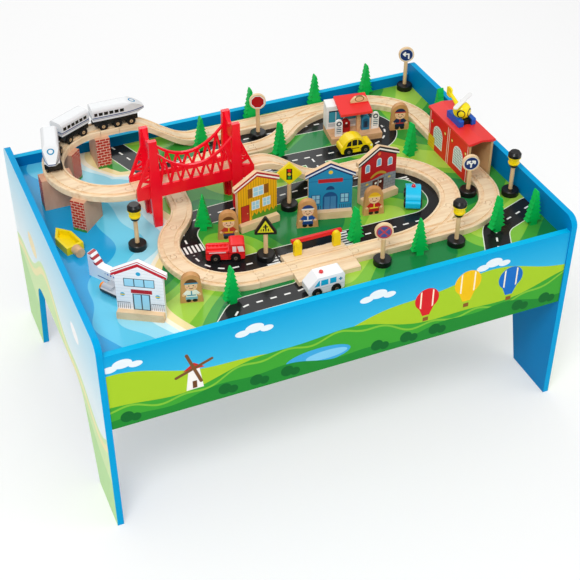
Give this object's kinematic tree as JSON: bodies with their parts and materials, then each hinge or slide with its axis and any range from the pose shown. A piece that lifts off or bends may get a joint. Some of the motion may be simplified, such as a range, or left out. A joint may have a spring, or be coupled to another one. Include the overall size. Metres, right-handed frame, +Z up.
{
  "type": "train table",
  "caption": "Low wooden play table on panel legs, with a grooved toy railway, a raised loop and suspension bridge, a level crossing, houses, signs, road vehicles and a train that rolls",
  "frame": {"origin": "on the floor below the middle of the table", "axes": "+X runs along the front panel from the raised loop to the train shed, +Y from the front panel to the back panel, +Z up"},
  "size_m": [0.8996, 0.654, 0.557],
  "materials": {
    "blue_paint": "satin paint on board",
    "panel_print": "printed and varnished board",
    "board_print": "printed and varnished board",
    "raw_wood": "sawn",
    "steel": "zinc plated",
    "beech": "sanded",
    "red_plastic": "glossy",
    "pier_print": "printed ends on sanded wood",
    "yellow_paint": "satin paint",
    "red_paint": "satin paint",
    "green_paint": "satin paint",
    "black_paint": "satin paint, the posts bare",
    "white_paint": "satin paint",
    "dark_blue_paint": "satin paint",
    "cyan_paint": "satin paint",
    "white_plastic": "glossy, with a black underframe",
    "black_wheel": "moulded"
  },
  "bodies": {
    "table": {"end_panel_left": "blue_paint", "end_panel_right": "blue_paint", "side_panel_front": "panel_print", "side_panel_back": "panel_print", "play_board": "board_print", "board_battens": "raw_wood", "cross_rail": "raw_wood", "cam_fittings": "steel", "ground_track": "beech", "switch_tracks": "beech", "raised_track": "beech", "ramp_tracks": "beech", "crossing_track": "beech", "suspension_bridge": "red_plastic", "bridge_piers": "pier_print", "barrier_posts": "yellow_paint", "trees": "green_paint", "post_stands": "black_paint", "sign_plates": "beech", "lamp_heads": "yellow_paint", "figures": "beech", "hospital": "white_paint", "cottage": "yellow_paint", "police_station": "dark_blue_paint", "fire_station": "red_paint", "filling_station": "beech", "station_canopy": "red_paint", "fuel_pumps": "red_paint", "shed_walls": "red_paint", "shed_roof": "red_paint", "helicopter_skids": "dark_blue_paint", "helicopter_cabin": "yellow_paint", "toy_boat": "yellow_paint", "toy_plane": "white_paint"},
    "barrier": {"barrier": "red_paint"},
    "helicopter_rotor": {"helicopter_rotor": "white_paint"},
    "taxi": {"taxi_body": "yellow_paint"},
    "taxi_front_axle": {"taxi_front_wheels": "black_wheel"},
    "taxi_rear_axle": {"taxi_rear_wheels": "black_wheel"},
    "fire_truck": {"fire_truck_body": "red_paint"},
    "fire_truck_front_axle": {"fire_truck_front_wheels": "black_wheel"},
    "fire_truck_rear_axle": {"fire_truck_rear_wheels": "black_wheel"},
    "ambulance": {"ambulance_body": "white_paint"},
    "ambulance_front_axle": {"ambulance_front_wheels": "black_wheel"},
    "ambulance_rear_axle": {"ambulance_rear_wheels": "black_wheel"},
    "patrol_car": {"patrol_car_body": "cyan_paint"},
    "patrol_car_front_axle": {"patrol_car_front_wheels": "black_wheel"},
    "patrol_car_rear_axle": {"patrol_car_rear_wheels": "black_wheel"},
    "lead_car": {"lead_car": "white_plastic"},
    "middle_car": {"middle_car": "white_plastic"},
    "tail_car": {"tail_car": "white_plastic"},
    "lead_axle_1": {"lead_wheels_1": "black_wheel"},
    "lead_axle_2": {"lead_wheels_2": "black_wheel"},
    "lead_axle_3": {"lead_wheels_3": "black_wheel"},
    "middle_axle_1": {"middle_wheels_1": "black_wheel"},
    "middle_axle_2": {"middle_wheels_2": "black_wheel"},
    "tail_axle_1": {"tail_wheels_1": "black_wheel"},
    "tail_axle_2": {"tail_wheels_2": "black_wheel"},
    "tail_axle_3": {"tail_wheels_3": "black_wheel"}
  },
  "joints": [
    {"name": "barrier_lift", "type": "hinge", "parent": "table", "child": "barrier", "pos_m": [-0.03825, -0.1808, 0.41047], "axis": [0, -1, 0], "range_deg": [0, 80]},
    {"name": "rotor_spin", "type": "hinge", "parent": "table", "child": "helicopter_rotor", "pos_m": [0.38575, -0.00177, 0.497], "axis": [0, 0, 1], "continuous": true},
    {"name": "taxi_roll", "type": "slide", "parent": "table", "child": "taxi", "axis": [0.9962, -0.0872, 0], "range_m": [-0.012, 0.012]},
    {"name": "taxi_front_spin", "type": "hinge", "parent": "taxi", "child": "taxi_front_axle", "pos_m": [0.2288, 0.10662, 0.3838], "axis": [0.0872, 0.9962, 0], "range_deg": [-90, 90]},
    {"name": "taxi_rear_spin", "type": "hinge", "parent": "taxi", "child": "taxi_rear_axle", "pos_m": [0.19294, 0.10976, 0.3838], "axis": [0.0872, 0.9962, 0], "range_deg": [-90, 90]},
    {"name": "fire_truck_roll", "type": "slide", "parent": "table", "child": "fire_truck", "axis": [0.9511, -0.309, 0], "range_m": [-0.012, 0.012]},
    {"name": "fire_truck_front_spin", "type": "hinge", "parent": "fire_truck", "child": "fire_truck_front_axle", "pos_m": [-0.13765, -0.13056, 0.3838], "axis": [0.309, 0.9511, 0], "range_deg": [-90, 90]},
    {"name": "fire_truck_rear_spin", "type": "hinge", "parent": "fire_truck", "child": "fire_truck_rear_axle", "pos_m": [-0.17189, -0.11944, 0.3838], "axis": [0.309, 0.9511, 0], "range_deg": [-90, 90]},
    {"name": "ambulance_roll", "type": "slide", "parent": "table", "child": "ambulance", "axis": [1, 0, 0], "range_m": [-0.012, 0.012]},
    {"name": "ambulance_front_spin", "type": "hinge", "parent": "ambulance", "child": "ambulance_front_axle", "pos_m": [-0.04961, -0.2785, 0.3838], "axis": [0, 1, 0], "range_deg": [-90, 90]},
    {"name": "ambulance_rear_spin", "type": "hinge", "parent": "ambulance", "child": "ambulance_rear_axle", "pos_m": [-0.01361, -0.2785, 0.3838], "axis": [0, 1, 0], "range_deg": [-90, 90]},
    {"name": "patrol_car_roll", "type": "slide", "parent": "table", "child": "patrol_car", "axis": [0.454, 0.891, 0], "range_m": [-0.01, 0.01]},
    {"name": "patrol_car_front_spin", "type": "hinge", "parent": "patrol_car", "child": "patrol_car_front_axle", "pos_m": [0.2427, -0.08382, 0.3838], "axis": [-0.891, 0.454, 0], "range_deg": [-90, 90]},
    {"name": "patrol_car_rear_spin", "type": "hinge", "parent": "patrol_car", "child": "patrol_car_rear_axle", "pos_m": [0.22636, -0.1159, 0.3838], "axis": [-0.891, 0.454, 0], "range_deg": [-90, 90]},
    {"name": "train_run", "type": "hinge", "parent": "table", "child": "lead_car", "pos_m": [-0.26975, 0.1565, 0.452], "axis": [0, 0, 1], "range_deg": [-2, 8.5]},
    {"name": "middle_run", "type": "hinge", "parent": "table", "child": "middle_car", "pos_m": [-0.26975, 0.1565, 0.452], "axis": [0, 0, 1], "range_deg": [-2.5, 9]},
    {"name": "tail_run", "type": "slide", "parent": "table", "child": "tail_car", "axis": [-1, 0, 0], "range_m": [-0.0045, 0.0208]},
    {"name": "lead_spin_1", "type": "hinge", "parent": "lead_car", "child": "lead_axle_1", "pos_m": [-0.37243, 0.21048, 0.45855], "axis": [0.8851, -0.4653, 0], "range_deg": [-30, 136]},
    {"name": "lead_spin_2", "type": "hinge", "parent": "lead_car", "child": "lead_axle_2", "pos_m": [-0.3825, 0.18377, 0.45855], "axis": [0.972, -0.235, 0], "range_deg": [-30, 136]},
    {"name": "lead_spin_3", "type": "hinge", "parent": "lead_car", "child": "lead_axle_3", "pos_m": [-0.38575, 0.15646, 0.45855], "axis": [1, 0.0003, 0], "range_deg": [-30, 136]},
    {"name": "middle_spin_1", "type": "hinge", "parent": "middle_car", "child": "middle_axle_1", "pos_m": [-0.30761, 0.26615, 0.45855], "axis": [0.3264, -0.9452, 0], "range_deg": [-30, 136]},
    {"name": "middle_spin_2", "type": "hinge", "parent": "middle_car", "child": "middle_axle_2", "pos_m": [-0.3427, 0.24669, 0.45855], "axis": [0.6289, -0.7775, 0], "range_deg": [-30, 136]},
    {"name": "tail_spin_1", "type": "hinge", "parent": "tail_car", "child": "tail_axle_1", "pos_m": [-0.26114, 0.2725, 0.45855], "axis": [0, -1, 0], "range_deg": [-30, 136]},
    {"name": "tail_spin_2", "type": "hinge", "parent": "tail_car", "child": "tail_axle_2", "pos_m": [-0.23252, 0.2725, 0.45855], "axis": [0, -1, 0], "range_deg": [-30, 136]},
    {"name": "tail_spin_3", "type": "hinge", "parent": "tail_car", "child": "tail_axle_3", "pos_m": [-0.20496, 0.2725, 0.45855], "axis": [0, -1, 0], "range_deg": [-30, 136]}
  ],
  "couplings": [
    {"joint": "taxi_front_spin", "follows": "taxi_roll", "rad_per_m": 117.65},
    {"joint": "taxi_rear_spin", "follows": "taxi_roll", "rad_per_m": 117.65},
    {"joint": "fire_truck_front_spin", "follows": "fire_truck_roll", "rad_per_m": 117.65},
    {"joint": "fire_truck_rear_spin", "follows": "fire_truck_roll", "rad_per_m": 117.65},
    {"joint": "ambulance_front_spin", "follows": "ambulance_roll", "rad_per_m": 117.65},
    {"joint": "ambulance_rear_spin", "follows": "ambulance_roll", "rad_per_m": 117.65},
    {"joint": "patrol_car_front_spin", "follows": "patrol_car_roll", "rad_per_m": 117.65},
    {"joint": "patrol_car_rear_spin", "follows": "patrol_car_roll", "rad_per_m": 117.65},
    {"joint": "middle_run", "follows": "train_run", "ratio": 1},
    {"joint": "tail_run", "follows": "train_run", "m_per_rad": 0.116},
    {"joint": "lead_spin_1", "follows": "train_run", "ratio": 13.257},
    {"joint": "lead_spin_2", "follows": "train_run", "ratio": 13.257},
    {"joint": "lead_spin_3", "follows": "train_run", "ratio": 13.257},
    {"joint": "middle_spin_1", "follows": "train_run", "ratio": 13.257},
    {"joint": "middle_spin_2", "follows": "train_run", "ratio": 13.257},
    {"joint": "tail_spin_1", "follows": "train_run", "ratio": 13.257},
    {"joint": "tail_spin_2", "follows": "train_run", "ratio": 13.257},
    {"joint": "tail_spin_3", "follows": "train_run", "ratio": 13.257}
  ]
}
